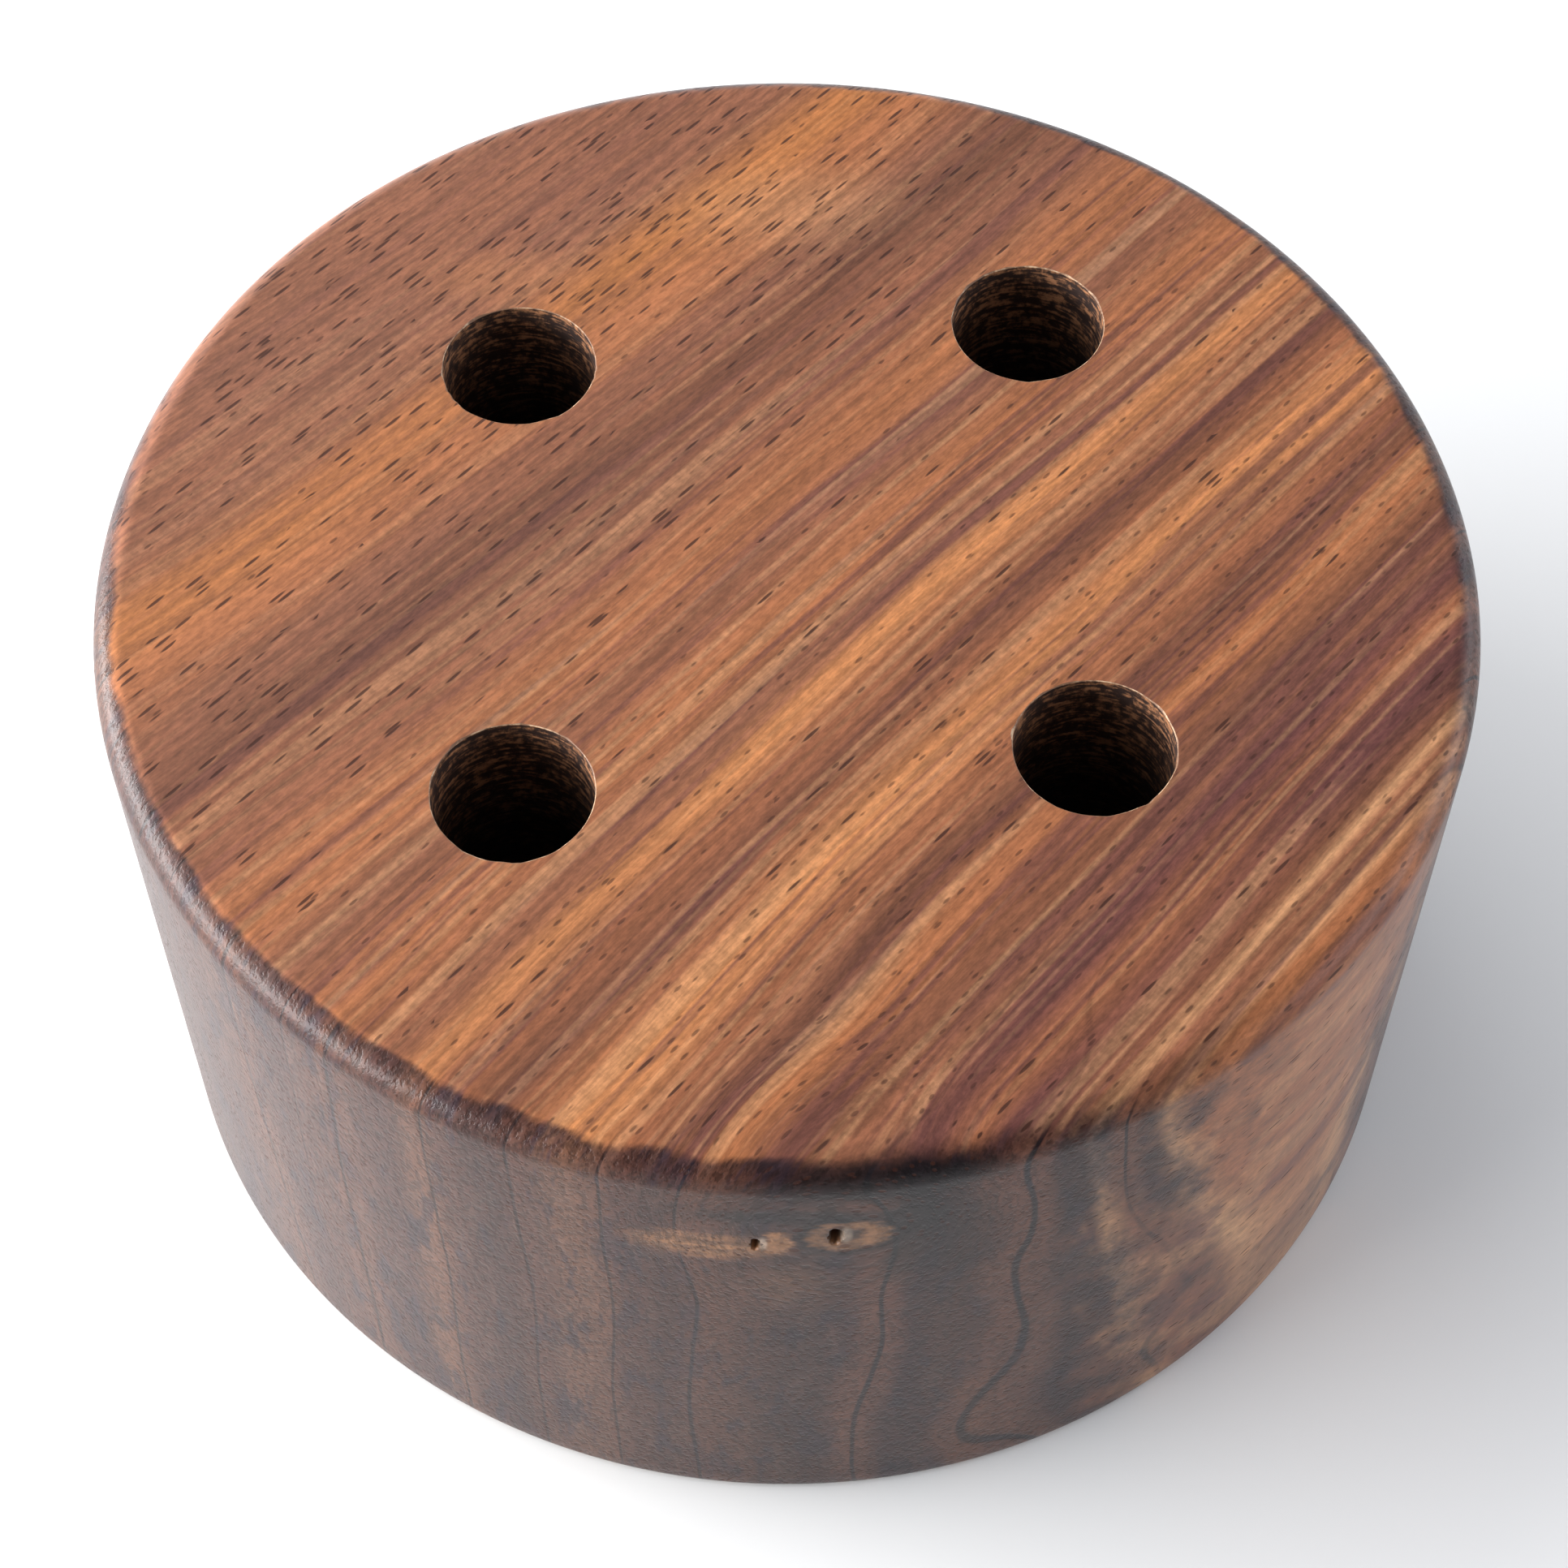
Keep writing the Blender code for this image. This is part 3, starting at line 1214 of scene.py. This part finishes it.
        points = np.concatenate([flat, heights[..., None]], axis=-1)
        return Sheet(points, np.array([row[2] for row in rows[:-1]]))

    def build(self) -> bpy.types.Object:
        """Build the block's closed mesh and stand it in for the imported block.

        Returns:
            The block's object.
        """
        sheets = [self.outside()]
        sheets += [self.bore_sheet(bore, quarter) for quarter, bore in enumerate(self.bores)]
        block = welded_object("turned_block", sheets)
        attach(block, "root")
        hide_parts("block")
        return block

    def dress(self, block: bpy.types.Object) -> None:
        """Give the block its finishes, in the order of its material slots.

        Args:
            block: the block's object.
        """
        block.data.materials.append(OiledWalnut().build())
        block.data.materials.append(DrilledWalnut().build())
        torn = DrilledWalnut(name="torn_walnut_edge", burnished="7a563c", torn="c7a684")
        block.data.materials.append(torn.build())


# ---------------------------------------------------------------------------------------------
# The studio
# ---------------------------------------------------------------------------------------------


@dataclass
class Studio:
    """A pale floor, a large soft window light from behind on the left, a low panel, a dim room.

    Attributes:
        floor_half: half the floor's side, in metres.
        floor_colour: the floor's paint.
        horizon_colour, horizon_strength: the room's light from low down.
        far_side: the share of that light that comes from behind the camera.
        skyline: the least share of it just above the floor's far edge.
        ceiling_colour, ceiling_strength: the room's light from overhead.
        glow_direction, glow_strength: the low glow on the side of the window.
        far_glow: the strength of the glow across the room from it.
        window_place, window_size, window_power: the window light, in metres and watts.
        panel_place, panel_size, panel_power: a pale panel close by on the left, which
            brightens the floor beside the block.
    """

    floor_half: float = 40.0
    floor_colour: str = "f2f1ee"
    horizon_colour: str = "f2f4f8"
    horizon_strength: float = 1.5
    far_side: float = 0.06
    skyline: float = 0.60
    ceiling_colour: str = "e3e9f5"
    ceiling_strength: float = 0.6
    glow_direction: tuple[float, float, float] = (-1.0, -0.08, 0.05)
    glow_strength: float = 2.5
    far_glow: float = 4.0
    window_place: tuple[float, float, float] = (-0.94, 0.78, 0.95)
    window_size: tuple[float, float] = (2.2, 1.5)
    window_power: float = 20.0
    panel_place: tuple[float, float, float] = (-0.42, -0.01, 0.09)
    panel_size: tuple[float, float] = (0.60, 0.16)
    panel_power: float = 6.0

    def lay_floor(self) -> bpy.types.Object:
        """Lay the floor, a square a hair below the block's base."""
        side = self.floor_half
        mesh = bpy.data.meshes.new("floor")
        corners = [(-side, -side, 0.0), (side, -side, 0.0), (side, side, 0.0), (-side, side, 0.0)]
        mesh.from_pydata(corners, [], [(0, 1, 2, 3)])
        floor = bpy.data.objects.new("floor", mesh)
        floor.location.z = -0.00005
        bpy.context.scene.collection.objects.link(floor)
        graph = Graph(bpy.data.materials.new("pale_floor_paint"))
        shader = graph.add(
            "BsdfPrincipled", {"Base Color": linear(self.floor_colour), "Roughness": 0.8}
        )
        mesh.materials.append(graph.finish(shader))
        return floor

    def light_room(self) -> None:
        """Fill the room with a soft light, brightest low down and dimmer overhead."""
        graph = Graph(bpy.data.worlds.new("room"))
        direction = graph.add("TexCoord").outputs["Generated"]
        axes = graph.add("SeparateXYZ", {0: direction})
        level, forward = axes.outputs["Z"], axes.outputs["Y"]
        share = Fade(0.0, 0.75, eased=True).build(graph, level)
        colours = {6: linear(self.horizon_colour), 7: linear(self.ceiling_colour)}
        colour = graph.add("Mix", {0: share, **colours}, data_type="RGBA")
        strength = Fade(first=self.horizon_strength, last=self.ceiling_strength).build(graph, share)
        facing = graph.add(
            "VectorMath", {0: direction, 1: self.glow_direction}, operation="DOT_PRODUCT"
        ).outputs["Value"]
        near_glow = Fade(0.70, 1.0, 0.0, self.glow_strength, eased=True).build(graph, facing)
        far_glow = Fade(-0.70, -1.0, 0.0, self.far_glow, eased=True).build(graph, facing)
        glow = graph.add("Math", {0: near_glow, 1: far_glow}, operation="ADD")
        near = Fade(-1.0, -0.1, self.far_side, 1.0, eased=True).build(graph, forward)
        low = Fade(0.12, 0.02, 0.0, self.skyline, eased=True).build(graph, level)
        near = graph.add("Math", {0: near, 1: low}, operation="MAXIMUM")
        strength = graph.add("Math", {0: strength, 1: near, 2: glow}, operation="MULTIPLY_ADD")
        background = graph.add("Background", {"Color": colour, "Strength": strength})
        bpy.context.scene.world = graph.finish(background)

    def hang_lamp(
        self, name: str, at: tuple[float, float, float], size: tuple[float, float], power: float
    ) -> None:
        """Hang a flat lamp, facing the block and out of the camera's sight.

        Args:
            name: the lamp's name.
            at: where it hangs.
            size: its width and height.
            power: its power, in watts.
        """
        light = bpy.data.lights.new(name, "AREA")
        light.shape = "RECTANGLE"
        light.size, light.size_y = size
        light.energy = power
        lamp = bpy.data.objects.new(name, light)
        lamp.visible_camera = False
        place = np.array(at)
        lamp.location = place
        toward = -place / np.linalg.norm(place)
        tilt = math.acos(-toward[2])
        turn = math.atan2(toward[1], toward[0]) - math.pi / 2.0
        lamp.rotation_euler = (tilt, 0.0, turn)
        bpy.context.scene.collection.objects.link(lamp)

    def set_up(self) -> None:
        """Set up the whole studio."""
        self.lay_floor()
        self.light_room()
        self.hang_lamp("window", self.window_place, self.window_size, self.window_power)
        self.hang_lamp("low_panel", self.panel_place, self.panel_size, self.panel_power)


@dataclass
class Viewpoint:
    """The camera: above the block and in front, aimed at the middle of its base.

    Attributes:
        azimuth: its direction round the block, from straight in front, anticlockwise.
        elevation: its height above the floor, as an angle.
        distance: how far it is from the middle of the base, in block radii.
        lens: its focal length on a 36 mm sensor, in millimetres.
        shift: how far the frame is shifted right and up, in frame widths.
    """

    azimuth: float = math.radians(-4.5)
    elevation: float = math.radians(57.98)
    distance: float = 5.730
    lens: float = 77.93
    shift: tuple[float, float] = (-0.0018, 0.0956)

    def set_up(self, radius: float) -> None:
        """Make the camera and look through it.

        Args:
            radius: the block's radius, in metres.
        """
        camera = bpy.data.cameras.new("camera")
        camera.lens = self.lens
        camera.sensor_width = 36.0
        camera.shift_x, camera.shift_y = self.shift
        camera.clip_start = 0.01
        viewer = bpy.data.objects.new("camera", camera)
        away = self.distance * radius
        level = math.cos(self.elevation) * away
        viewer.location = (
            level * math.sin(self.azimuth),
            -level * math.cos(self.azimuth),
            math.sin(self.elevation) * away,
        )
        viewer.rotation_euler = (math.pi / 2.0 - self.elevation, 0.0, self.azimuth)
        bpy.context.scene.collection.objects.link(viewer)
        bpy.context.scene.camera = viewer


def bores_from_record(openings: Iterable[dict[str, Any]]) -> list[Bore]:
    """Find the bores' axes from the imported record.

    Args:
        openings: the record's openings, a box inside each bore.

    Returns:
        The bores, in the order of the quarters they are in, anticlockwise from +X +Y.
    """
    bores = []
    for opening in openings:
        low, high = opening["box_m"]
        bores.append(Bore((low[0] + high[0]) / 2, (low[1] + high[1]) / 2))
    return sorted(bores, key=lambda bore: math.atan2(bore.y, bore.x) % TURN)


def main() -> None:
    """Build the block, dress it, and set up the studio and the camera."""
    scene = bpy.context.scene
    scene.view_settings.view_transform = "Standard"
    low, high = (np.array(corner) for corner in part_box("block"))
    bores = bores_from_record(frame["record"]["physics"]["openings"])
    turned = TurnedBlock(low, high, bores)
    block = turned.build()
    turned.dress(block)
    log.info("turned_block: %d faces, %d bores", len(block.data.polygons), len(bores))
    Studio().set_up()
    log.info("studio: floor, room, window light and low panel")
    Viewpoint().set_up(turned.radius)
    log.info("camera: set")


if __name__ == "__main__":
    main()
